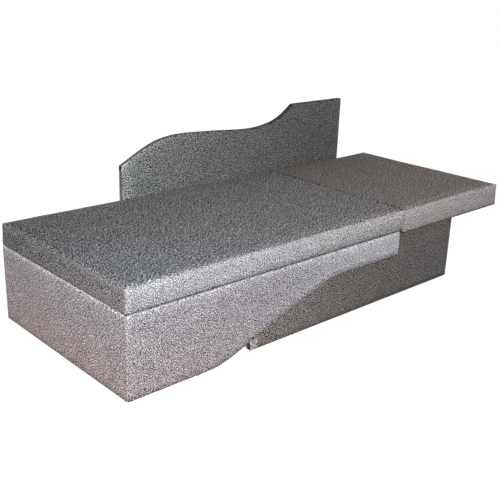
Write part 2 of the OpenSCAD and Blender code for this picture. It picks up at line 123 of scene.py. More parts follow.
def paper_output(tree, kind, lit, seen):
    """Ends a tree: the camera and sharp reflections see one shader, and the light uses the other."""
    path = put(tree, "LightPath")
    shown = put(tree, "Math", {0: path.outputs["Is Camera Ray"], 1: path.outputs["Is Glossy Ray"]},
                operation="MAXIMUM")
    put(tree, kind, {"Surface": put(tree, "MixShader", {0: shown, 1: lit, 2: seen})})


floor_half = 60.0
floor_mesh = bpy.data.meshes.new("floor")
floor_corners = [(x * floor_half, y * floor_half, 0) for x, y in ((-1, -1), (1, -1), (1, 1), (-1, 1))]
floor_mesh.from_pydata(floor_corners, [], [(0, 1, 2, 3)])
floor = add_object("floor", floor_mesh)

# Pale painted floor: warm for the light that it throws back, white for the camera.
floor_paint, tree = bare_material("pale floor paint")
paint = put(tree, "BsdfDiffuse", {"Color": linear("#dccbc2")})
paper = put(tree, "BsdfDiffuse", {"Color": linear("#d8d8d8")})
paper_glow = put(tree, "Emission", {"Color": linear("#ffffff"), "Strength": 0.8})
paper_output(tree, "OutputMaterial", paint, put(tree, "AddShader", {0: paper, 1: paper_glow}))
floor_mesh.materials.append(floor_paint)

world = bpy.data.worlds.new("studio")
bpy.context.scene.world = world
tree = bare_tree(world)
sky_light = put(tree, "Background", {"Color": linear("#fcfdff"), "Strength": 0.33})
sky_seen = put(tree, "Background", {"Color": linear("#ffffff"), "Strength": 1.0})
paper_output(tree, "OutputWorld", sky_light, sky_seen)


key_data = bpy.data.lights.new("key_lamp", "AREA")
key_data.size = 0.9
key_data.energy = 115.0
key_data.color = linear("#f3f8ff")[:3]
key_lamp = add_object("key_lamp", key_data)
key_lamp.location = (-2.6, -2.9, 1.7)
key_lamp.rotation_mode = "QUATERNION"
key_lamp.rotation_quaternion = (Vector((0.0, 0.0, 0.3)) - key_lamp.location).to_track_quat("-Z", "Y")

# Main pad: a foam block on a slatted timber frame, in one cover of flecked chenille.
# The cover is cut as a top with four sides, sewn at the upright corners, and stapled underneath.
MM = 0.001
seat_low, seat_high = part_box("seat_cover")
pad_cell = 9 * MM
pad_foot_r = 5.5 * MM
pad_foot_turn = 9 * MM
seam_corner_r = 5 * MM
seam_edge_r = 4 * MM
corner_seam_depth = 1.1 * MM
pad_pull = 3 * MM
pad_crown = 2 * MM
pad_margin = 25 * MM
pad_swell = 1.5 * MM
pad_blow = 3 * MM
pad_ceiling = seat_high.z - 0.1 * MM
pad_edge_top = seat_high.z - 3.2 * MM
rim_steps = np.array([0, 1.5, 3.5, 6, 9, 12.5, 17, 24]) * MM
fabric_t = 1.5 * MM


def vector_math(tree, operation, *inputs):
    """A node that reckons with vectors."""
    return put(tree, "VectorMath", dict(enumerate(inputs)), operation=operation)


def number_math(tree, operation, *inputs):
    """A node that reckons with numbers."""
    return put(tree, "Math", dict(enumerate(inputs)), operation=operation)


def brightened(tree, colour, factor):
    """A colour times a factor."""
    return put(tree, "VectorMath", {0: colour, "Scale": factor}, operation="SCALE")


def noise_at(tree, place, scale, detail, **settings):
    """A noise texture."""
    return put(tree, "TexNoise", {"Vector": place, "Scale": scale, "Detail": detail}, **settings)


def spread(tree, value, low, high, to_low=0.0, to_high=1.0):
    """Stretches the values from low to high over another range, and holds them beyond it."""
    return put(tree, "MapRange",
               {"Value": value, "From Min": low, "From Max": high, "To Min": to_low, "To Max": to_high})


def mixed(tree, factor, first, second, blend="MIX", held=True):
    """Two colours, blended by a factor."""
    return put(tree, "Mix", {0: factor, 6: first, 7: second}, data_type="RGBA", blend_type=blend,
               clamp_factor=held).outputs[2]


def ramp(tree, value, stops):
    """A colour ramp, from the colour at each position in order."""
    node = put(tree, "ValToRGB", {0: value})
    elements = node.color_ramp.elements
    spots = list(stops)
    elements[0].position = spots[0]
    elements[1].position = spots[-1]
    for spot in spots[1:-1]:
        elements.new(spot)
    for element, colour in zip(elements, stops.values()):
        element.color = colour
    return node


def surface(material, colour, height, strength, depth, inputs):
    """Ends a material: a bump from a height, a shader with its own values, and the output."""
    tree = material.node_tree
    bump = put(tree, "Bump", {"Strength": strength, "Distance": depth, "Height": height})
    shader = put(tree, "BsdfPrincipled", {"Base Color": colour, "Normal": bump, **inputs})
    put(tree, "OutputMaterial", {"Surface": shader})
    return material


def cloth_material(name, shade, lit, dark_flecks, light_flecks, fleck_mm, streak=0.0):
    """Chenille upholstery: fuzzy yarns of mixed greys in a plain weave, dull, with a soft sheen.

    The mesh attribute nap paints light and shade into the colour, from the shade colour at 0 to the lit
    colour at 1, and warm says how warm its grey is. The real yarns are about 1.5 mm, and fleck_mm is
    coarser, so that the flecks show in the render."""
    material, tree = bare_material(name)
    place = put(tree, "UVMap", uv_map="cloth")
    painted_light = put(tree, "Attribute", attribute_name="painted_light").outputs["Fac"]
    warm = put(tree, "Attribute", attribute_name="warm").outputs["Fac"]
    grid = vector_math(tree, "MULTIPLY", place, (1 / (fleck_mm * MM),) * 2 + (0,))
    drift = noise_at(tree, grid, 0.35, 1.0, noise_dimensions="2D").outputs["Color"]
    drift = vector_math(tree, "MULTIPLY_ADD", drift, (1.1, 1.1, 0), (-0.55, -0.55, 0))
    grid = vector_math(tree, "ADD", grid, drift)
    # Bright tips and dark gaps take turns at an even spacing, each tuft has its own height and dye,
    # and single fibres stand out as specks
    tufts = put(tree, "TexVoronoi", {"Scale": 2.4, "Randomness": 0.9, "Vector": grid},
                voronoi_dimensions="2D")
    dice = put(tree, "SeparateColor", {0: tufts.outputs["Color"]})
    tips = put(tree, "TexGabor", {"Scale": 1.0, "Frequency": 1.0, "Anisotropy": 0.0, "Vector": grid},
               gabor_type="2D")
    slub = spread(tree, tips.outputs["Value"], 0.33, 0.67)
    fibres = vector_math(tree, "FLOOR", vector_math(tree, "MULTIPLY", grid, (1.9, 1.9, 0)))
    speck = put(tree, "TexWhiteNoise", {"Vector": fibres}, noise_dimensions="2D").outputs["Value"]
    tone = put(tree, "Mix", {0: 0.75, 2: dice, 3: slub})
    tone = put(tree, "Mix", {0: 0.18, 2: tone, 3: speck})
    # The painted shade side shows deep gaps and bright tips, and the painted lit side is calmer
    sides = []
    for code, flecks in ((shade, dark_flecks), (lit, light_flecks)):
        stops = {spot: (grey, grey, grey, 1) for spot, grey in zip((0.22, 0.38, 0.5, 0.62, 0.78), flecks)}
        sides.append(mixed(tree, 1.0, linear(code), ramp(tree, tone, stops), "MULTIPLY"))
    colour = mixed(tree, painted_light, sides[0], sides[1], held=False)
    # Folds and turned-under edges hold brown shadow
    colour = mixed(tree, spread(tree, painted_light, -0.9, -0.2, 1.0, 0.0), colour, linear("#4b3c36"))
    # Yarns are dyed in slightly warm and slightly cold greys
    dye = mixed(tree, dice.outputs[1], (1.08, 0.985, 0.95, 1), (0.93, 1.005, 1.05, 1))
    colour = mixed(tree, 1.0, colour, dye, "MULTIPLY")
    # The pile lies unevenly: soft patches of 60 mm and streaks along the rows of yarn
    patch = noise_at(tree, place, 16.0, 3.0, noise_dimensions="2D")
    row = vector_math(tree, "MULTIPLY", place, (190.0, 7.0, 0))
    row = noise_at(tree, row, 1.0, 2.0, noise_dimensions="2D")
    pile = number_math(tree, "MULTIPLY", spread(tree, patch, 0.3, 0.7, 0.94, 1.06),
                       spread(tree, row, 0.3, 0.7, 1 - streak, 1 + streak))
    warmth = vector_math(tree, "MULTIPLY_ADD", warm, (0.035, -0.012, -0.036), (1, 1, 1))
    colour = vector_math(tree, "MULTIPLY", brightened(tree, colour, pile), warmth)
    # Height of the crossing yarns, for the bump: across the cell on odd cells, along it on even ones
    yarns = vector_math(tree, "MULTIPLY", place, (1 / (1.6 * MM),) * 2 + (0,))
    away = vector_math(tree, "FRACTION", yarns)
    away = vector_math(tree, "MULTIPLY_ADD", away, (2, 2, 0), (-1, -1, 0))
    away = put(tree, "SeparateXYZ", {0: vector_math(tree, "MULTIPLY", away, away)})
    cell = put(tree, "SeparateXYZ", {0: vector_math(tree, "FLOOR", yarns)})
    odd = number_math(tree, "FLOORED_MODULO", number_math(tree, "ADD", cell, cell.outputs[1]), 2.0)
    dip = put(tree, "Mix", {0: odd, 2: away, 3: away.outputs[1]})
    height = number_math(tree, "MULTIPLY_ADD", dip, -0.3, slub)
    return surface(material, colour, height, 0.6, 0.7 * MM,
                   {"Roughness": 0.95, "Sheen Weight": 0.12, "Sheen Roughness": 0.5,
                    "Specular IOR Level": 0.12})


deep_flecks = (0.01, 0.12, 0.7, 2.1, 5.0)
calm_flecks = (0.14, 0.53, 1.0, 1.5, 2.4)
pad_chenille = cloth_material("grey chenille, pads", "#68696a", "#afadad", deep_flecks, calm_flecks, 5.8)


def stations(start, end, rim, coarse):
    """Grid lines from start to end, at the rim steps from both ends and even between."""
    many = max(1, round((end - start - 2 * rim[-1]) / coarse))
    return np.concatenate([start + rim[:-1], np.linspace(start + rim[-1], end - rim[-1], many + 1),
                           end - rim[-2::-1]])


def eased(x):
    """0 to 1 in a soft climb."""
    x = np.clip(x, 0, 1)
    return x * x * (3 - 2 * x)


def fade_out(distance, width):
    """1 up to no distance, and 0 from the width on."""
    return 1 - eased(distance / width)


def halo(distance, width):
    """1 at no distance, with a soft fall on both sides."""
    return np.exp(-(distance / width) ** 2)


def soften(p, low, high, seam_x, corner_r, edge_r):
    """Rounds the faces of a block: its upright corners, its top edges and its foot.

    corner_r is the radius at the foot and at the top, edge_r that of the front, end and rear edges."""
    from_seam = np.abs(p[:, 0] - seam_x)
    rise = eased((p[:, 2] - low[2]) / (high[2] - low[2]))
    in_front = p[:, 1] < (low[1] + high[1]) / 2
    corner = np.where(in_front, corner_r[0] + (corner_r[1] - corner_r[0]) * rise, corner_r[0])
    corner = np.where(from_seam < (high[0] - low[0]) / 2, seam_corner_r, corner)
    from_end = high[0] - low[0] - from_seam
    near = [1 / (np.maximum(d, 0) + 2 * MM) ** 2 for d in (p[:, 1] - low[1], from_end, high[1] - p[:, 1])]
    edge = sum(w * r for w, r in zip(near, edge_r)) / sum(near)
    edge = seam_edge_r + (edge - seam_edge_r) * eased(from_seam / (30 * MM))
    foot = np.minimum(pad_foot_r, edge)
    inset = np.minimum.reduce([p[:, 0] - low[0], high[0] - p[:, 0], p[:, 1] - low[1], high[1] - p[:, 1]])
    inset = np.maximum(inset, 0)
    z = p[:, 2].copy()
    for r, drop, sign, level_z in ((edge, high[2] - z, -1, high[2]), (foot, z - low[2], 1, low[2])):
        a = np.maximum(r - inset, 0)
        b = np.maximum(r - drop, 0)
        both = (a > 0) & (b > 0)
        length = np.where(both, np.hypot(a, b), 1)
        inset = np.where(both, r - a * r / length, inset)
        z = np.where(both, level_z + sign * (r - b * r / length), z)
    near_low = np.stack([low[0] + corner, low[1] + corner], 1)
    near_high = np.stack([high[0] - corner, high[1] - corner], 1)
    core = np.minimum(np.maximum(p[:, :2], near_low), near_high)
    out = p[:, :2] - core
    length = np.linalg.norm(out, axis=1)
    reach = np.where(length > 0, (corner - inset) / np.maximum(length, 1e-9), 0)
    return np.column_stack([core + out * reach[:, None], z])


def new_piece(name, points, faces, uvs=None, material=None, smooth=True):
    """A mesh object with its cloth map in metres."""
    mesh = bpy.data.meshes.new(name)
    mesh.from_pydata([tuple(p) for p in points], [], faces)
    if uvs is not None:
        layer = mesh.uv_layers.new(name="cloth")
        layer.data.foreach_set("uv", np.array(uvs, np.float32).ravel())
    mesh.polygons.foreach_set("use_smooth", [smooth] * len(mesh.polygons))
    if material:
        mesh.materials.append(material)
    return add_object(name, mesh)


def blow_up(obj, held, pressure, most, frames=20):
    """Blows a cover up from inside by cloth simulation, and lets no point move further than most."""
    mesh = obj.data
    start = np.zeros(len(mesh.vertices) * 3)
    mesh.vertices.foreach_get("co", start)
    start = start.reshape(-1, 3)
    group = obj.vertex_groups.new(name="held")
    group.add([int(i) for i in held], 1.0, "REPLACE")
    cloth = obj.modifiers.new("blown", "CLOTH")
    fabric = {"quality": 4, "mass": 0.25, "tension_stiffness": 12, "compression_stiffness": 12,
              "shear_stiffness": 4, "bending_stiffness": 0.6, "use_pressure": True,
              "uniform_pressure_force": pressure, "vertex_group_mass": "held"}
    for key, value in fabric.items():
        setattr(cloth.settings, key, value)
    cloth.settings.effector_weights.gravity = 0
    cloth.point_cache.frame_end = frames
    for step in range(1, frames + 1):
        bpy.context.scene.frame_set(step)
    shape = obj.evaluated_get(bpy.context.evaluated_depsgraph_get())
    end = np.zeros(len(mesh.vertices) * 3)
    shape.data.vertices.foreach_get("co", end)
    move = end.reshape(-1, 3) - start
    length = np.linalg.norm(move, axis=1, keepdims=True)
    move *= most * np.tanh(length / most) / np.maximum(length, 1e-9)
    obj.modifiers.remove(cloth)
    obj.vertex_groups.remove(group)
    bpy.context.scene.frame_set(1)
    return start + move


def normals_of(obj):
    """The vertex normals of a mesh as an array."""
    n = np.zeros(len(obj.data.vertices) * 3, np.float32)
    obj.data.vertex_normals.foreach_get("vector", n)
    return n.reshape(-1, 3)


side_ways = {"front": (1, -1), "left": (0, -1), "rear": (1, 1), "right_end": (0, 1), "top": (2, 1),
             "under": (2, -1)}


def facing(n, side):
    """How far each normal turns to a side, from 0 to 1."""
    axis, sign = side_ways[side]
    return np.maximum(sign * n[:, axis], 0)


def painted_light_by_side(n, lights):
    """Painted light and shade, from the way each point faces and the light given for each side."""
    return sum(light * facing(n, side) ** 1.5 for side, light in lights.items())


def set_painted_light(obj, painted_lights, warms):
    """Writes the painted light and shade, at each vertex or overall, and how warm its grey is."""
    for key, values in (("painted_light", painted_lights), ("warm", warms)):
        layer = obj.data.attributes.new(key, "FLOAT", "POINT")
        layer.data.foreach_set("value", np.full(len(layer.data), values, np.float32))


def bumpy(x, y, z):
    """Smooth noise between -1 and 1."""
    return noise.noise(Vector((x, y, z)))


def pad_piece(name, low, high, seam_x, corner_r, edge_r, material, seed):
    """A boxed cushion: top, four sides and the fabric turned in under the frame."""
    low = np.array(tuple(low))
    high = np.array((high.x, high.y, pad_edge_top))
    start = low + (pad_swell if seam_x > (low[0] + high[0]) / 2 else 0, pad_swell, 0)
    stop = high - (pad_swell if seam_x <= (low[0] + high[0]) / 2 else 0, pad_swell, pad_swell)
    xs, ys, zs = (stations(start[i], stop[i], rim_steps, cell)
                  for i, cell in enumerate((pad_cell, pad_cell, 8 * MM)))
    nx, ny, nz = len(xs) - 1, len(ys) - 1, len(zs) - 1
    index = {}

    def at(*spot):
        """The vertex at a grid place, made once."""
        return index.setdefault(spot, len(index))

    faces = []
    uvs = []

    def patch(across, along, place, flat, turned):
        """A grid of faces: place gives a vertex, flat its spot on the unfolded cloth."""
        for a in range(across):
            for b in range(along):
                ring = [(a, b), (a + 1, b), (a + 1, b + 1), (a, b + 1)]
                if turned:
                    ring = ring[::-1]
                faces.append([at(*place(*c)) for c in ring])
                uvs.extend(flat(*c) for c in ring)

    # The pile of the top lies open, so its flecks are drawn longer than those of the sides
    patch(nx, ny, lambda i, j: (i, j, nz), lambda i, j: (xs[i] * 1.1, ys[j] * 0.46), False)
    patch(nx, nz, lambda i, k: (i, 0, k), lambda i, k: (xs[i], start[1] - stop[2] + zs[k]), False)
    patch(nx, nz, lambda i, k: (i, ny, k), lambda i, k: (xs[i], stop[1] + stop[2] - zs[k]), True)
    patch(ny, nz, lambda j, k: (nx, j, k), lambda j, k: (stop[0] + stop[2] - zs[k], ys[j]), False)
    patch(ny, nz, lambda j, k: (0, j, k), lambda j, k: (start[0] - stop[2] + zs[k], ys[j]), True)
    for i in range(nx):
        for j in range(ny):
            x = (xs[i] + xs[i + 1]) / 2
            y = (ys[j] + ys[j + 1]) / 2
            if min(x - low[0], high[0] - x, y - low[1], high[1] - y) > pad_margin:
                continue
            ring = [(i, j + 1), (i + 1, j + 1), (i + 1, j), (i, j)]
            faces.append([at(*c, 0) for c in ring])
            uvs.extend((xs[c[0]], ys[c[1]] - 1) for c in ring)

    # The fabric is drawn in along the middle of each side, and pressure swells it between the seams
    grid = np.array([(xs[i], ys[j], zs[k]) for i, j, k in index])
    points = soften(grid, start, stop, seam_x, corner_r, edge_r)
    across = (points - (start + stop) / 2) / ((stop - start) / 2)
    climb = eased((points[:, 2] - low[2]) / (0.5 * (high[2] - low[2])))
    free = eased(np.abs(points[:, 0] - seam_x) / (60 * MM))
    for axis, side, share in ((1, 0, 1), (0, 1, free)):
        bow = np.cos(np.pi / 2 * across[:, side]) * np.abs(across[:, axis]) ** 8
        points[:, axis] -= np.sign(across[:, axis]) * pad_pull * climb * bow * share
    obj = new_piece(name, points, faces, uvs, material)
    foot_line = low[2] + pad_foot_turn
    seam_face = np.abs(grid[:, 0] - seam_x) < 1e-6
    held = np.nonzero((points[:, 2] < foot_line) | seam_face)[0]
    points = blow_up(obj, held, 1.2, pad_blow)
    # Foam is never quite even: slow waves of about 1 mm, and a soft crown
    flat_top = grid[:, 2] >= stop[2] - 1e-6
    points[:, 2] -= max(0, np.median(points[flat_top, 2]) - high[2]) * climb
    arch = 1 - np.clip(np.abs(across), 0, 1) ** 4
    points[:, 2] += np.where(flat_top, pad_crown * arch[:, 0] * arch[:, 1], 0)
    for n, p in enumerate(points):
        wave = bumpy(p[0] * 7 + seed, p[1] * 7, p[2] * 9) * 0.9
        wave += bumpy(p[0] * 21 + seed, p[1] * 21, p[2] * 21 + 5) * 0.55
        shift = wave * MM * min(1, max(0, (p[2] - foot_line) / (25 * MM)))
        if flat_top[n]:
            p[2] += shift
        for axis in (1, 0):
            if not seam_face[n] and grid[n, axis] in (start[axis], stop[axis]):
                p[axis] += shift * (1 if grid[n, axis] == start[axis] else -1)
    # The upright corner seams draw the fabric in along a line
    for i, j in ((0, 0), (0, ny), (nx, 0), (nx, ny)):
        for k in range(1, nz + 1):
            points[index[i, j, k], 0] += corner_seam_depth * (1 if i == 0 else -1)
            points[index[i, j, k], 1] += corner_seam_depth * (1 if j == 0 else -1)
    points[:, 2] = np.minimum(points[:, 2], pad_ceiling)
    points[:, 1] = np.minimum(points[:, 1], high[1])
    obj.data.vertices.foreach_set("co", points.ravel())
    obj.data.update()
    return obj, points


def hem(obj, depth):
    """Gives a cover the thickness of its fabric, inward."""
    thick = obj.modifiers.new("fabric thickness", "SOLIDIFY")
    thick.thickness = depth
    thick.offset = -1
    thick.use_rim = True


def paint_pad_light(obj, points, low, high, lights, painted_falloff, slope, warms):
    """Painted light and shade of a pad, as shares of the way from the cloth's shade to its lit colour.

    lights gives each side's share. fade paints the pad darker along its length, and slope paints its
    front darker from the top down. warms gives the warmth of the front's left and right, the end, and
    the top's left and right."""
    n = normals_of(obj)
    front, left, up = (facing(n, side) for side in ("front", "left", "top"))
    from_end = points[:, 0] - seat_low.x
    from_front = points[:, 1] - low[1]
    above_foot = points[:, 2] - low[2]
    height = above_foot / (high[2] - low[2])
    along = from_end / (seat_high.x - seat_low.x)
    painted_light = painted_light_by_side(n, lights) * (1 - painted_falloff * along)
    # Painted highlights: along the end's top, along the front's top, and at the near corner
    end_edge_highlight = halo(np.hypot(from_end, high[2] - points[:, 2]) - 3 * MM, 15 * MM)
    painted_light += 0.42 * end_edge_highlight + 0.6 * up * front
    painted_light += 0.22 * halo(np.hypot(from_end, from_front) - 8 * MM, 13 * MM) * eased(height) * (n[:, 1] < -0.3)
    # The front is painted lighter at its top and darker down towards the foot
    painted_light += front * (0.2 - slope * (1 - height) + (0.2 + 0.25 * along) * np.exp((height - 1) / 0.07))
    # The foot turns under into shadow
    painted_light -= 0.2 * front * fade_out(above_foot, 30 * MM)
    painted_light -= (0.3 + 0.45 * (n[:, 1] < -0.1)) * fade_out(above_foot - 2 * MM, pad_foot_turn) * (n[:, 2] < 0.3)
    # Painted light and shade: the end grows lighter towards the front, and the top grows darker towards the
    # rear, most over its left part, and towards the right end, with a painted shadow along its rear edge
    rearward = eased(from_front / (high[1] - low[1]))
    painted_light -= left * (0.3 * rearward + 0.07)
    top = up ** 2
    painted_light += top * (0.045 - 0.2 * rearward - 0.16 * rearward * fade_out(along, 0.625) - 0.12 * eased(along))
    painted_light -= 0.5 * halo(high[1] - points[:, 1], 10 * MM) * (n[:, 2] > 0.3)
    share = eased((points[:, 0] - low[0]) / (high[0] - low[0]))
    front_warm = warms[0] + (warms[1] - warms[0]) * share + 1.6 * fade_out(above_foot, 40 * MM)
    top_warm = warms[3] + (warms[4] - warms[3]) * share + 2.2 * rearward * (1 - share)
    set_painted_light(obj, painted_light, (front * front_warm + left * warms[2] + top * top_warm) * (1 - end_edge_highlight))


seat, seat_points = pad_piece("seat_pad", seat_low, seat_high, seat_high.x, (4 * MM, 17 * MM),
                              (17 * MM, 10 * MM, 6 * MM), pad_chenille, 3.0)
paint_pad_light(seat, seat_points, seat_low, seat_high, {"front": 1.15, "left": 0.1, "rear": 0.4, "right_end": 0.2},
        0.16, 0.85, (-0.9, -0.3, 1.5, -0.3, 2.6))
hem(seat, fabric_t)
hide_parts("seat_cover", "seat_foam")
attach(seat, "base")

# Extension pad: the same foam block and cover on a thicker frame, so that it reaches down to the
# carriage that carries it. It folds back over the main pad on the strip sewn into the seam.
flap_low, flap_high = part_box("flap_cover")
flap_chenille = cloth_material("warmer grey chenille, extension pad", "#6c6863", "#b0aca9",
                               (0.05, 0.4, 1.0, 1.8, 3.2), (0.25, 0.65, 1.0, 1.4, 2.0), 6.8)
flap, flap_points = pad_piece("extension_pad", flap_low, flap_high, flap_low.x, (4 * MM, 5 * MM),
                              (14 * MM, 5 * MM, 6 * MM), flap_chenille, 11.0)
paint_pad_light(flap, flap_points, flap_low, flap_high,
        {"front": 1.08, "left": 0.1, "rear": 0.4, "right_end": 0.35, "top": 0.12},
        0.187, 0.4, (-0.5, -0.9, 0.0, 0.3, 3.2))
hem(flap, fabric_t)
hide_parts("flap_cover", "flap_foam")
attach(flap, "flap")

# Hinge strip: a folded band of the same chenille, sewn to both covers at the top of the seam.
# It lies in the seam as a loop.
fold = [j for j in frame["joints"] if j["name"] == "pad_fold"][0]["pos_m"]
strip_half = 2.2 * MM
strip_depth = 7 * MM
strip_profile = [(math.cos(a) * -strip_half, -math.sin(a) * strip_depth - 5.5 * MM)
                 for a in np.linspace(0, math.pi, 9)]
strip_ys = np.linspace(seat_low.y + 12 * MM, seat_high.y - 12 * MM, 90)


def grid_faces(rows, columns, turned=False):
    """Quads over a grid of points that are given row by row."""
    faces = []
    for i in range(rows - 1):
        for j in range(columns - 1):
            a = i * columns + j
            b, c, d = a + 1, a + columns + 1, a + columns
            faces.append([a, d, c, b] if turned else [a, b, c, d])
    return faces


wide = len(strip_profile)
points = [(fold[0] + x, y, fold[2] + z) for y in strip_ys for x, z in strip_profile]
faces = grid_faces(len(strip_ys), wide, turned=True)
uvs = [(strip_ys[v // wide], v % wide * 2 * MM) for ring in faces for v in ring]
strip = new_piece("hinge_strip", points, faces, uvs, pad_chenille)
# The strip lies in the seam, painted in shade a little darker than the cloth's shade colour
set_painted_light(strip, -0.2, 0.0)
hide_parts("fold_hinge_strip")
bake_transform(strip)

# Pad frames: planed pine rails, 40 mm wide, glued and nailed, with a hardboard deck under the foam.
# Their sawn edges are barely eased, and the grain runs along each rail.
X, Y, Z = 0, 1, 2
rail_w = 40 * MM


def pine_material(name, axis):
    """Planed pine: pale yellow early wood, browner late wood every 4 mm, a few knots, a dull surface."""
    material, tree = bare_material(name)
    place = put(tree, "TexCoord").outputs["Object"]

    def stretched(across, lengthwise):
        """The place, scaled across the grain and along it."""
        scale = [across] * 3
        scale[axis] = lengthwise
        return vector_math(tree, "MULTIPLY", place, scale)

    along = stretched(1.0, 0.05)
    bend = noise_at(tree, along, 9.0, 2.0)
    centre = vector_math(tree, "ADD", along, (0.13, 0.21, -0.09))
    radius = vector_math(tree, "LENGTH", centre).outputs["Value"]
    ring = number_math(tree, "MULTIPLY", radius, 1 / (4 * MM))
    ring = number_math(tree, "FRACT", number_math(tree, "MULTIPLY_ADD", bend, 9.0, ring))
    grain = ramp(tree, ring, {0.35: linear("#dcb981"), 0.93: linear("#c09158")})
    fibre = noise_at(tree, stretched(420.0, 9.0), 1.0, 3.0)
    colour = brightened(tree, grain, spread(tree, fibre, 0.3, 0.7, 0.84, 1.08))
    knots = put(tree, "TexVoronoi", {"Scale": 1.0, "Vector": stretched(7.0, 3.0)}).outputs["Distance"]
    colour = mixed(tree, spread(tree, knots, 0.05, 0.11, 1.0, 0.0), colour, linear("#6f4526"))
    return surface(material, colour, fibre, 0.25, 0.2 * MM, {"Roughness": 0.62, "Specular IOR Level": 0.35})


def dress(material, names, easing=0.0):
    """Gives CAD nodes their material, and eases their sharp edges by a small bevel."""
    for name in names:
        obj = frame["nodes"][name]
        if not obj.material_slots:
            obj.data.materials.append(material)
        for slot in obj.material_slots:
            slot.material = material
        if easing:
            weld = obj.modifiers.new("weld", "WELD")
            weld.merge_threshold = 0.01 * MM
            bevel = obj.modifiers.new("eased edges", "BEVEL")
            bevel.width = easing
            bevel.segments = 2
            bevel.limit_method = "ANGLE"
            bevel.angle_limit = math.radians(35)


def sines(tree, place, pitch):
    """The sine of a place along each axis, with its peaks and dips a pitch apart."""
    return vector_math(tree, "SINE", vector_math(tree, "MULTIPLY", place, (math.pi / pitch,) * 3))


def hardboard_material():
    """Oil-tempered hardboard: pressed brown wood fibre, smooth above and with a wire-mesh print below."""
    material, tree = bare_material("hardboard")
    place = put(tree, "TexCoord").outputs["Object"]
    fibre = put(tree, "TexNoise", {"Vector": place, "Scale": 700.0, "Detail": 4.0, "Roughness": 0.7})
    tone = put(tree, "Mix", {0: 0.3, 2: fibre, 3: noise_at(tree, place, 11.0, 3.0)})
    colour = ramp(tree, tone, {0.32: linear("#5f3f26"), 0.68: linear("#a37a50")})
    # The wires of the press lie 2 mm apart
    screen = put(tree, "SeparateXYZ", {0: sines(tree, place, 2 * MM)})
    screen = number_math(tree, "MULTIPLY", screen, screen.outputs[1])
    face = put(tree, "SeparateXYZ", {0: put(tree, "NewGeometry").outputs["True Normal"]})
    below = number_math(tree, "LESS_THAN", face.outputs[2], -0.5)
    return surface(material, colour, number_math(tree, "MULTIPLY", screen, below), 0.5, 0.4 * MM,
                   {"Roughness": 0.48, "Specular IOR Level": 0.4})


pine_long = pine_material("planed pine, grain along the bed", X)
pine_across = pine_material("planed pine, grain across the bed", Y)
hardboard = hardboard_material()
dress(pine_long, ["seat_long_rails", "flap_long_rails"], 1 * MM)
dress(pine_across, ["seat_cross_rails", "flap_cross_rails"], 1 * MM)
dress(hardboard, ["seat_deck", "flap_deck"], 0.4 * MM)

# Dust cloths: black spunbond polypropylene under both pads, stapled to the frames.
# The cloth hangs a little between the rails and is drawn up at each staple.
dust_t = 0.5 * MM
dust_cell = 11 * MM
staple_pitch = 55 * MM


def spunbond_material():
    """Black spunbond cloth: matted plastic fibres, fused in small dots 2 mm apart that shine a little."""
    material, tree = bare_material("black spunbond cloth")
    place = put(tree, "TexCoord").outputs["Object"]
    fibre = put(tree, "TexNoise", {"Vector": place, "Scale": 900.0, "Detail": 3.0, "Distortion": 2.0})
    tone = put(tree, "Mix", {0: 0.4, 2: fibre, 3: noise_at(tree, place, 60.0, 3.0)})
    colour = ramp(tree, tone, {0.3: linear("#17171a"), 0.7: linear("#3d3e42")})
    dots = sines(tree, place, 2 * MM)
    dots = vector_math(tree, "DOT_PRODUCT", vector_math(tree, "MULTIPLY", dots, dots), (1, 1, 1))
    return surface(material, colour, dots.outputs["Value"], 0.35, 0.25 * MM,
                   {"Roughness": 0.7, "Specular IOR Level": 0.3})


spunbond = spunbond_material()


def pucker(s, edge):
    """How far the staples draw a cloth in, at s along it and at a distance from its edge."""
    return abs(math.sin(math.pi * s / staple_pitch)) * max(0.0, 1 - edge / (30 * MM))


def pad_dust_cloth(name, node, frame_node, body, most_sag):
    """A dust cloth that closes the underside of a pad."""
    low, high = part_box(node)
    xs = np.linspace(low.x, high.x, round((high.x - low.x) / dust_cell) + 1)
    ys = np.linspace(low.y, high.y, round((high.y - low.y) / dust_cell) + 1)
    rail_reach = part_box(frame_node)[0].y + rail_w
    points = []
    for x in xs:
        for y in ys:
            edge = min(x - low.x, high.x - x, y - low.y, high.y - y)
            into_bay = min(y - rail_reach + 20 * MM, -rail_reach - y)
            hang = most_sag * eased(into_bay / (250 * MM)) * (0.75 + 0.25 * bumpy(x * 6, y * 6, 2))
            points.append((x, y, high.z - dust_t - hang - 0.25 * MM * pucker(x + y, edge)))
    obj = new_piece(name, points, grid_faces(len(xs), len(ys)), material=spunbond)
    hem(obj, dust_t)
    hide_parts(node)
    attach(obj, body)
    return low, high


seat_dust = pad_dust_cloth("seat_dust_cloth", "seat_dust_sheet", "seat_long_rails", "base", 2.5 * MM)
flap_dust = pad_dust_cloth("extension_dust_cloth", "flap_dust_sheet", "flap_long_rails", "flap", 0.3 * MM)

# Staples: galvanised wire, 10 mm wide, shot through the fabric and the dust cloth into the frame.
# Only the flat crowns show, in rows along the turned-in edges.
staple_l = 10 * MM
staple_w = 1.2 * MM
staple_t = 0.55 * MM


def zinc_material():
    """Zinc-plated steel: grey metal with a satin gloss, clouded by the plating and finely brushed."""
    material, tree = bare_material("zinc-plated steel")
    place = put(tree, "TexCoord").outputs["Object"]
    cloud = noise_at(tree, place, 160.0, 4.0)
    colour = ramp(tree, cloud, {0.3: linear("#a9adb3"), 0.7: linear("#d3d6da")})
    brushed = noise_at(tree, vector_math(tree, "MULTIPLY", place, (300, 4000, 4000)), 1.0, 2.0)
    return surface(material, colour, brushed, 0.1, 0.05 * MM,
                   {"Metallic": 1.0, "Roughness": spread(tree, brushed, 0.0, 1.0, 0.3, 0.5)})


zinc = zinc_material()


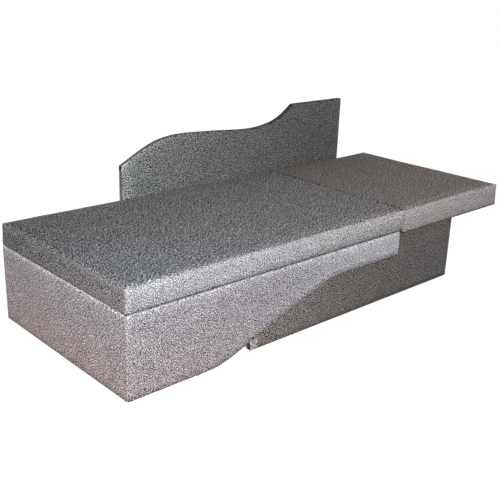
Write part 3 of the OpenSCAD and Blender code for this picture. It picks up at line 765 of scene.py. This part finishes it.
def staples(name, spots, body):
    """Crowns of staples: each spot is a place, the way the crown runs and the way it faces."""
    rows = ((-0.5, -0.9), (-0.5, 0.35), (-0.42, 1.0), (0.42, 1.0), (0.5, 0.35), (0.5, -0.9))
    points = []
    faces = []
    for place, along, out in spots:
        along = Vector(along).normalized()
        out = Vector(out).normalized()
        side = out.cross(along)
        first = len(points)
        for reach, lift in rows:
            for half in (-0.5, 0.5):
                spot = Vector(place) + along * reach * staple_l
                points.append(spot + side * half * staple_w + out * lift * staple_t)
        outline = [first + 2 * r for r in range(len(rows))]
        faces.extend([a, a + 2, a + 3, a + 1] for a in outline[:-1])
        faces.append(outline[::-1])
        faces.append([v + 1 for v in outline])
        faces.append([first, first + 1, outline[-1] + 1, outline[-1]])
    obj = new_piece(name, points, faces, material=zinc, smooth=False)
    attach(obj, body)


def staple_frame(box, inset, z):
    """Staples round a rectangle that faces down, square to its edges."""
    low, high = box
    spots = []
    for axis in (0, 1):
        run = np.arange(low[axis] + inset + 20 * MM, high[axis] - inset - 15 * MM, staple_pitch)
        for line in (low[1 - axis] + inset, high[1 - axis] - inset):
            for n, s in enumerate(run):
                place = [s, line + 1.5 * MM * math.sin(5.1 * n + 40 * line)]
                along = [1, 0.12 * math.sin(2.3 * n + 90 * line)]
                if axis:
                    place.reverse()
                    along.reverse()
                spots.append(((*place, z), (*along, 0), (0, 0, -1)))
    return spots


on_cloth = 8 * MM
beside_cloth = -9 * MM
base_staples = staple_frame(seat_dust, on_cloth, seat_dust[1].z - dust_t - 0.15 * MM)
base_staples += staple_frame(seat_dust, beside_cloth, seat_low.z + 0.1 * MM)
flap_staples = staple_frame(flap_dust, on_cloth, flap_dust[1].z - dust_t - 0.15 * MM)
flap_staples += staple_frame(flap_dust, beside_cloth, flap_low.z + 0.45 * MM)
staples("flap_staples", flap_staples, "flap")

# Outer box: chipboard front and end panels, wrapped in thin wadding and a lighter chenille.
# The fabric runs round the corner in one width and is turned in and stapled behind the boards.
outer_low, outer_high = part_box("outer_cover")
panel_edge_r = 6 * MM
panel_foot_r = 3 * MM
panel_turn = 25 * MM
panel_cell = 8 * MM
inner_r = 1.5 * MM
fabric_wobble = 0.5 * MM
steepest = 1.6
box_corner_r = 8 * MM
inner_corner_r = 1.2 * MM
pinch_depth = 3 * MM
wave_start = outer_low.x + 318 * MM
wave_end = outer_low.x + 945 * MM
wave_low = outer_low.z
wave_high = 192 * MM
ease_share = 0.15


def wave_height(x):
    """Height of the front panel's lower edge: low on the left, then a straight ramp with soft ends."""
    t = min(max((x - wave_start) / (wave_end - wave_start), 0), 1)
    b = ease_share
    if t < b:
        share = t * t / (2 * b * (1 - b))
    elif t > 1 - b:
        share = 1 - (1 - t) ** 2 / (2 * b * (1 - b))
    else:
        share = (t - b / 2) / (1 - b)
    return wave_low + (wave_high - wave_low) * share


def run_lengths(path):
    """How far each point of a path lies from its start."""
    return np.concatenate([[0], np.cumsum(np.linalg.norm(np.diff(path, axis=0), axis=1))])


def spot_on(path, runs, s):
    """The point of a path at a distance along it."""
    return np.array([np.interp(s, runs, path[:, i]) for i in (0, 1)])


def slope_at(height, s, reach):
    """How steeply an edge climbs at a distance along a panel."""
    return (height(s + reach) - height(s - reach)) / (2 * reach)


def wrapped_panel(name, outer, inner, low, high, top_r, material, seed, coarse_to=0.0):
    """Fabric wrapped round a board: face, rounded edges, ends, and the turned-in rim behind.

    outer and inner are the plan points of the face and of the back, from end to end. low and high
    give the edges' heights at a distance along the face. The window behind stays open. Before
    coarse_to the cloth's pattern is drawn wider, because that side is seen at a slant."""
    outer = np.array(outer)
    inner = np.array(inner)
    runs = run_lengths(outer)
    total = runs[-1]
    cuts = [(top_r * (1 - math.sin(a)), top_r * (1 - math.cos(a))) for a in np.radians((90, 67.5, 45, 22.5))]
    middle = sorted(list(np.linspace(top_r, total - top_r, int(total / panel_cell)))
                    + [s for s in runs if top_r < s < total - top_r] + [panel_turn, total - panel_turn])
    kept = [middle[0]]
    for s in middle[1:]:
        if s - kept[-1] > 0.7 * MM:
            kept.append(s)
    spots = cuts + [(s, 0.0) for s in kept] + [(total - s, d) for s, d in reversed(cuts)]
    turns = np.radians((0, 22.5, 45, 67.5, 90))
    points = []
    flat = []
    run_of = []
    for s, d in spots:
        o = spot_on(outer, runs, s)
        q = spot_on(inner, runs, s)
        depth = np.linalg.norm(q - o)
        inward = (q - o) / depth
        zb = low(s)
        zt = high(s)
        rb = panel_foot_r * min(math.hypot(1, slope_at(low, s, 2 * MM)), steepest)
        rt = top_r * min(math.hypot(1, slope_at(high, s, 2 * MM)), steepest)
        k = 1 - d / top_r
        # The section runs up the face, over the top edge, down behind the board and under its foot
        rows = [zb + panel_turn + (zt - zb - 2 * panel_turn) * t for t in np.linspace(0, 1, 13)]
        face_rows = [zb + rb] + rows + [zt - rt - (panel_turn - rt) * t for t in (0.65, 0.35, 0)]
        back = depth - inner_r
        lift = zt - rt + rt * k
        drop = zb + rb - rb * k
        section = [(d, z) for z in face_rows]
        section += [(d + top_r * k * (1 - math.cos(a)), zt - rt + rt * k * math.sin(a)) for a in turns[1:]]
        section += [((d + top_r * k + back) / 2, lift)]
        section += [(back + inner_r * k * math.sin(a), lift - inner_r * k * (1 - math.cos(a))) for a in turns]
        section += [(depth - inner_r * (1 - k), z) for z in reversed(rows)]
        section += [(back + inner_r * k * math.cos(a), drop + inner_r * k * (1 - math.sin(a))) for a in turns]
        section += [((d + panel_foot_r * k + back) / 2, drop)]
        section += [(d + panel_foot_r * k * (1 - math.sin(a)), zb + rb - rb * k * math.cos(a))
                    for a in turns[:-1]]
        run = 0.0
        last = section[0]
        across = s if s > coarse_to else coarse_to - (coarse_to - s) * 0.72
        for n, z in section:
            run += math.dist((n, z), last)
            last = (n, z)
            bend = bumpy(s * 5 + seed, z * 6, 0) * 0.7 + bumpy(s * 16, z * 16, seed) * 0.3
            off = fabric_wobble * (bend * k * max(0.0, 1 - n / (3 * top_r)) + 0.5)
            place = o + inward * (n + off)
            points.append((place[0], place[1], z))
            flat.append((across, z if n < top_r and z <= zt - rt * 0.9 else zb + run))
            run_of.append(s)
    wide = len(section)
    window = len(face_rows) + 2 * len(turns)
    faces = []
    uvs = []
    for a in range(len(spots) - 1):
        behind = spots[a][0] >= panel_turn - 1e-6 and spots[a + 1][0] <= total - panel_turn + 1e-6
        for b in range(wide):
            if behind and window <= b < window + len(rows) - 1:
                continue
            c = (b + 1) % wide
            ring = [(a, b), (a + 1, b), (a + 1, c), (a, c)]
            faces.append([i * wide + j for i, j in ring])
            for i, j in ring:
                u, v = flat[i * wide + j]
                if c == 0 and j == 0:
                    v = flat[i * wide + wide - 1][1] + 3 * MM
                uvs.append((u, v))
    # Each end face is a ladder of quads between its front and rear rows, with a cap above and below
    rear = window + len(rows)
    rings = [[i, i + 1, rear - 1 - i, rear - i] for i in range(1, len(rows))]
    rings += [list(range(len(rows), window + 1)), [0, 1] + list(range(rear - 1, wide))]
    for end, way in ((0, -1), ((len(spots) - 1) * wide, 1)):
        for ring in rings:
            ring = [end + v for v in ring[::way]]
            faces.append(ring)
            uvs.extend((points[v][1] + points[v][0], points[v][2]) for v in ring)
    return new_piece(name, points, faces, uvs, material), np.array(points), np.array(run_of)


def close_cover(obj):
    """Merges the doubled points at a cover's ends and gives it the thickness of its fabric."""
    mesh = bmesh.new()
    mesh.from_mesh(obj.data)
    bmesh.ops.remove_doubles(mesh, verts=mesh.verts, dist=0.02 * MM)
    bmesh.ops.dissolve_degenerate(mesh, edges=mesh.edges, dist=0.01 * MM)
    mesh.to_mesh(obj.data)
    mesh.free()
    hem(obj, fabric_t)


def rim_staples(outer, inner, low, high, skip=()):
    """Staples along the turned-in fabric at the top and foot of a panel's back."""
    outer = np.array(outer)
    inner = np.array(inner)
    runs = run_lengths(outer)
    spots = []
    for n, s in enumerate(np.arange(38 * MM, runs[-1] - 30 * MM, staple_pitch)):
        if any(a < s < b for a, b in skip):
            continue
        q = spot_on(inner, runs, s)
        way = spot_on(inner, runs, s + MM) - q
        way /= np.linalg.norm(way)
        out = np.array([-way[1], way[0]])
        out *= np.sign(out @ (q - spot_on(outer, runs, s)))
        for height, climb in ((low, 1), (high, -1)):
            z = height(s) + climb * (18 + 1.5 * math.sin(3.3 * n)) * MM
            along = (*way, slope_at(height, s, 5 * MM) + 0.1 * math.sin(2.1 * n))
            spots.append(((*q, z), along, (*out, 0)))
    return spots


def bent_plan(x, y, far_x, rear_y, r, side):
    """Plan points of an end panel and a front panel, whose corner is left (side 1) or right (side -1)."""
    turn = np.linspace(0, math.pi / 2, 9)
    arc = [(x + side * r * (1 - math.cos(a)), y + r * (1 - math.sin(a))) for a in turn]
    return [(x, rear_y), *arc, (far_x, y)][::side]


end_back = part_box("outer_end_board")[1].x + fabric_t
front_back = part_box("outer_front_board")[1].y + fabric_t
end_run = outer_high.y - outer_low.y - box_corner_r
corner_run = box_corner_r * math.pi / 2


def box_foot(s):
    """Height of the outer box's lower edge at a distance along its face."""
    if s < end_run + corner_run:
        return wave_low
    return wave_height(outer_low.x + box_corner_r + s - end_run - corner_run)


def box_top(s):
    """Height of the outer box's top, where the folded fabric draws the corner down."""
    corner = end_run + 0.6 * corner_run
    reach = (22 if s < corner else 11) * MM
    return outer_high.z - pinch_depth * float(fade_out(abs(s - corner), reach))


box_chenille = cloth_material("light grey chenille, outer box", "#767173", "#9a9697",
                              deep_flecks, (0.02, 0.33, 1.0, 1.75, 3.1), 5.4, 0.05)
box_shape = (bent_plan(outer_low.x, outer_low.y, outer_high.x, outer_high.y, box_corner_r, 1),
             bent_plan(end_back, front_back, outer_high.x, outer_high.y, inner_corner_r, 1), box_foot, box_top)
box, points, run = wrapped_panel("outer_box_cover", *box_shape, panel_edge_r, box_chenille, 21.0, end_run)
n = normals_of(box)
front = facing(n, "front")
from_top = outer_high.z - points[:, 2]
from_foot = points[:, 2] - np.array([box_foot(s) for s in run])
along = (points[:, 0] - outer_low.x) / (outer_high.x - outer_low.x)
# Painted light and shade by the way each point faces, with the faces turned down painted dark
painted_light = painted_light_by_side(n, {"front": 0.74, "left": 0.83, "rear": 0.3, "right_end": 0.9, "top": 0.9, "under": -1.2})
# The front is painted lighter from 430 mm left of the divan's middle to 150 mm right of it
painted_light += 1.14 * eased((points[:, 0] + 430 * MM) / (580 * MM)) * front
# Top edges get a painted highlight with a soft painted glow under them, and the corner a painted light line
# beside a painted dark one
painted_light += (0.8 + 1.3 * (n[:, 0] < -0.3)) * halo(from_top, 10 * MM) * (n[:, 2] > -0.2)
painted_light += (0.16 + 0.1 * front) * fade_out(from_top, 60 * MM) + 0.55 * front * halo(from_top, 24 * MM)
painted_light += 0.32 * halo(run - end_run - corner_run - 4 * MM, 8 * MM)
painted_light -= 0.3 * halo(run - end_run - 0.15 * corner_run, 5 * MM)
# The turned-under foot is painted in shadow
foot_shade = -0.75
painted_light += (foot_shade - painted_light) * fade_out(from_foot, 9 * MM)
low_down = fade_out(points[:, 2], 240 * MM)
warm = front * (-0.5 - 0.7 * along + 1.7 * low_down * (1 - along))
warm += facing(n, "left") * (0.2 + 2.2 * low_down)
set_painted_light(box, painted_light, warm)
close_cover(box)
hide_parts("outer_cover", "outer_padding")
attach(box, "base")
base_staples += rim_staples(*box_shape, [(end_run - 60 * MM, end_run + 80 * MM)])
staples("base_staples", base_staples, "base")

# Outer boards: raw chipboard, 12 and 16 mm, sawn and screwed at the corner.
# The screw heads sit in the board under the fabric, and three nail-on glides carry the box.


def chipboard_material():
    """Raw chipboard: pressed wood chips of 2 to 6 mm in mixed straw and brown, dry and rough."""
    material, tree = bare_material("raw chipboard")
    place = put(tree, "TexCoord").outputs["Object"]
    warp = vector_math(tree, "MULTIPLY", noise_at(tree, place, 120.0, 2.0).outputs["Color"], (0.004,) * 3)
    where = vector_math(tree, "ADD", place, warp)
    tones = []
    for chip_mm in (5.0, 2.0):
        chip = put(tree, "TexVoronoi", {"Scale": 1 / (chip_mm * MM), "Vector": where})
        tones.append(put(tree, "SeparateColor", {0: chip.outputs["Color"]}))
    tone = put(tree, "Mix", {0: 0.45, 2: tones[0], 3: tones[1].outputs[1]})
    colour = ramp(tree, tone, {0.15: linear("#9a7448"), 0.5: linear("#c49d69"), 0.85: linear("#dec08e")})
    return surface(material, colour, tone, 0.4, 0.3 * MM, {"Roughness": 0.8, "Specular IOR Level": 0.25})


def moulded_material(name, code, roughness):
    """Moulded plastic: one colour through, a fine spark-eroded grain, a soft gloss."""
    material, tree = bare_material(name)
    place = put(tree, "TexCoord").outputs["Object"]
    scuff = spread(tree, noise_at(tree, place, 90.0, 2.0), 0.3, 0.7, 0.85, 1.25)
    return surface(material, brightened(tree, linear(code)[:3], scuff), noise_at(tree, place, 1400.0, 2.0),
                   0.2, 0.05 * MM, {"Roughness": roughness, "IOR": 1.5})


chipboard = chipboard_material()
black_plastic = moulded_material("black polypropylene", "#1b1b1d", 0.45)
dress(chipboard, ["outer_front_board", "outer_end_board"], 0.3 * MM)
dress(zinc, ["outer_screws"])
dress(black_plastic, ["base_glides"], 0.5 * MM)

# Slide rails: pine battens behind the front panel's top and under the main pad's rear edge.
# The carriage runs beneath them, and a short stop under each one catches its left board.
dress(pine_long, ["front_slide_rail", "rear_slide_rail"], 0.8 * MM)
dress(pine_across, ["end_cleat", "pull_out_stops"], 0.8 * MM)
dress(zinc, ["rail_screws"])

# Carriage: a chipboard box on rollers, its front and right panels wrapped like the outer box.
# Its fabric is the dark side of the same chenille, with the pile lying the other way.
carriage_low, carriage_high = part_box("carriage_cover")
carriage_front_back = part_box("carriage_front_board")[1].y + fabric_t
carriage_right_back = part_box("carriage_right_board")[0].x - fabric_t
dark_edge_r = 4 * MM
dark_chenille = cloth_material("dark grey chenille, carriage and back", "#4a4947", "#767572",
                               (0.08, 0.4, 1.0, 1.8, 3.3), (0.03, 0.35, 1.0, 1.8, 3.4), 6.6)


def level_line(z):
    """The height of an edge that stays level along its panel."""
    return lambda s: z


carriage_shape = (
    bent_plan(carriage_high.x, carriage_low.y, carriage_low.x, carriage_high.y, box_corner_r, -1),
    bent_plan(carriage_right_back, carriage_front_back, carriage_low.x, carriage_high.y, inner_corner_r, -1),
    level_line(carriage_low.z), level_line(carriage_high.z))
carriage, points, _ = wrapped_panel("carriage_panels_cover", *carriage_shape, dark_edge_r, dark_chenille, 31.0)
n = normals_of(carriage)
along = (points[:, 0] - carriage_low.x) / (carriage_high.x - carriage_low.x)
# Painted light and shade: a painted light band at the left end, the left end face and the left part of the
# front painted lighter, and a painted shadow where the foot turns under
painted_light_band = fade_out(points[:, 0] - carriage_low.x - 26 * MM + 0.12 * points[:, 2], 18 * MM)
painted_light = painted_light_by_side(n, {"front": 0.42, "left": 2.2, "rear": 0.3, "right_end": 0.3, "top": 0.3}) - 0.12 * eased(along)
painted_light += (0.4 * fade_out(along, 0.6) + 1.5 * painted_light_band) * (n[:, 1] < -0.6)
painted_light -= 0.8 * fade_out(points[:, 2] - carriage_low.z, 8 * MM)
set_painted_light(carriage, painted_light, np.where(n[:, 0] < -0.5, -0.8, 1.8 - 1.4 * eased(along) - 3.0 * painted_light_band))
close_cover(carriage)
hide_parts("carriage_cover", "carriage_padding")
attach(carriage, "carriage")

# A strip of the lighter fabric covers the left board's edge behind the front panel, and is stapled down
return_y = np.linspace(carriage_front_back - 1 * MM, carriage_front_back + 58 * MM, 9)
return_z = np.linspace(carriage_low.z + 5 * MM, carriage_high.z - 3 * MM, 34)
return_x = carriage_low.x + 2.3 * MM
points = []
for y in return_y:
    for z in return_z:
        ripple = bumpy(y * 30, z * 9, 4) * 0.5 * MM
        cut = 1.2 * MM * math.sin(z * 55) * (y - return_y[0]) / (return_y[-1] - return_y[0])
        points.append((return_x + ripple, y + cut, z))
faces = grid_faces(len(return_y), len(return_z))
turned = new_piece("carriage_cover_return", points, faces, [points[v][1:] for ring in faces for v in ring],
                   box_chenille)
# The strip is painted as lit, lighter than the cloth's lit colour, and colder
set_painted_light(turned, 1.5, -0.8)
hem(turned, -1.3 * MM)
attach(turned, "carriage")
carriage_front_run = carriage_high.x - carriage_low.x
carriage_staples = rim_staples(*carriage_shape, [(carriage_front_run - 60 * MM, carriage_front_run + 60 * MM)])

# Carriage boards: raw chipboard box with a hardboard floor on two pine battens, glue blocks in its
# corners and a pine ledger along the back board. The bedding lies on the floor inside.
pine_upright = pine_material("planed pine, grain upright", Z)
dress(chipboard, ["carriage_front_board", "carriage_left_board", "carriage_right_board"], 0.3 * MM)
dress(hardboard, ["carriage_floor"], 0.4 * MM)
dress(pine_long, ["rear_ledger"], 0.8 * MM)
dress(pine_across, ["floor_battens"], 0.8 * MM)
dress(pine_upright, ["corner_blocks"], 0.8 * MM)
dress(zinc, ["carriage_screws"])

# Back board: one tall chipboard panel sawn to a wave, wrapped in wadding and dark chenille.
# The fabric is stapled round its rear rim, over a black dust cloth.
back_low, back_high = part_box("back_cover")
back_low_top = 503 * MM
back_shares = np.array([(0, 0), (0.1, 0.39), (0.165, 0.54), (0.24, 0.585), (0.36, 0.545), (0.525, 0.465),
                        (0.615, 0.525), (0.68, 0.69), (0.739, 1)])
curve = []
for i in range(len(back_shares) - 1):
    a, b = back_shares[i:i + 2]
    p = (b - back_shares[max(i - 1, 0)]) / 2
    q = (back_shares[min(i + 2, len(back_shares) - 1)] - a) / 2
    for t in np.linspace(0, 1, 12, endpoint=False):
        curve.append(a + p * t + (3 * (b - a) - 2 * p - q) * t * t + (2 * (a - b) + p + q) * t ** 3)
curve = np.array(curve + [back_shares[-1], (1, 1)])


def back_top(s):
    """Height of the back board's wavy top at a distance from its left end."""
    share = np.interp(s / (back_high.x - back_low.x), curve[:, 0], curve[:, 1])
    return back_low_top + (back_high.z - back_low_top) * share


def straight_plan(low, high, y):
    """Plan points of a straight panel."""
    return [(low.x, y), (high.x, y)]


back_shape = (straight_plan(back_low, back_high, back_low.y), straight_plan(back_low, back_high, back_high.y),
              level_line(back_low.z), back_top)
back, points, run = wrapped_panel("back_board_cover", *back_shape, dark_edge_r, dark_chenille, 41.0)
n = normals_of(back)
along = run / run[-1]
from_top = np.array([back_top(s) for s in run]) - points[:, 2]
# Painted light and shade: the face darkens along the board, the left end face is painted dark, and the top
# edge lighter at the left and darker to the right
painted_light = painted_light_by_side(n, {"front": 0.9, "left": -0.4, "rear": 0.3}) * (1.1 - 0.62 * eased(along * 1.1))
painted_light += facing(n, "top") * (0.5 - 1.0 * eased(along * 3))
# The left end is painted lighter, in a zone that widens downwards and along the top edge
painted_light_zone = 0.85 * fade_out(run - 8 * MM, 38 * MM + 0.25 * np.maximum(from_top, 0))
painted_light_zone += 0.9 * halo(from_top, 26 * MM) * halo(run, 260 * MM)
painted_light += painted_light_zone * (n[:, 1] < -0.3) + 0.02 + 0.22 * fade_out(along, 0.25)
set_painted_light(back, painted_light, -0.7 * (1 - eased(along * 1.4)))
close_cover(back)
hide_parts("back_cover", "back_padding")
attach(back, "carriage")
dress(chipboard, ["back_board"], 0.3 * MM)

# The black cloth behind the back board lies inside the turned-in fabric, with its own staples
lining_low, lining_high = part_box("back_lining")
lining_xs = np.linspace(lining_low.x, lining_high.x, 130)
lining_y = lining_high.y - 0.1 * MM
lining_rows = 44
points = []
for x in lining_xs:
    s = x - back_low.x
    top = min(back_top(s) - panel_turn * math.hypot(1, slope_at(back_top, s, 4 * MM)), lining_high.z)
    for z in lining_low.z + (top - lining_low.z) * np.arange(lining_rows + 1) / lining_rows:
        edge = min(x - lining_low.x, lining_high.x - x, z - lining_low.z, top - z)
        slack = bumpy(x * 5, z * 5, 7) * eased(edge / (60 * MM))
        points.append((x, lining_y - 0.2 * MM * pucker(x + z, edge) + 0.25 * MM * slack, z))
lining = new_piece("back_dust_cloth", points, grid_faces(len(lining_xs), lining_rows + 1), material=spunbond)
hem(lining, dust_t)
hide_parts("back_lining")
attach(lining, "carriage")
carriage_staples += rim_staples(*back_shape)
carriage_staples += rim_staples(straight_plan(lining_low, lining_high, back_low.y),
                                straight_plan(lining_low, lining_high, lining_high.y),
                                level_line(back_low.z + 15 * MM), lambda s: back_top(s + panel_turn) - 16 * MM)
staples("carriage_staples", carriage_staples, "carriage")

# Rollers: moulded nylon wheels on riveted steel axles, in pressed brackets screwed under the battens.
# They carry the carriage over the floor.
roller_nylon = moulded_material("dark grey nylon", "#2b2b2e", 0.4)
dress(zinc, ["roller_brackets"], 0.5 * MM)
dress(zinc, ["roller_axles", "bracket_screws"], 0.3 * MM)
dress(roller_nylon, ["roller_front_left", "roller_front_right"], 0.5 * MM)
dress(roller_nylon, ["roller_rear_left", "roller_rear_right"], 0.5 * MM)
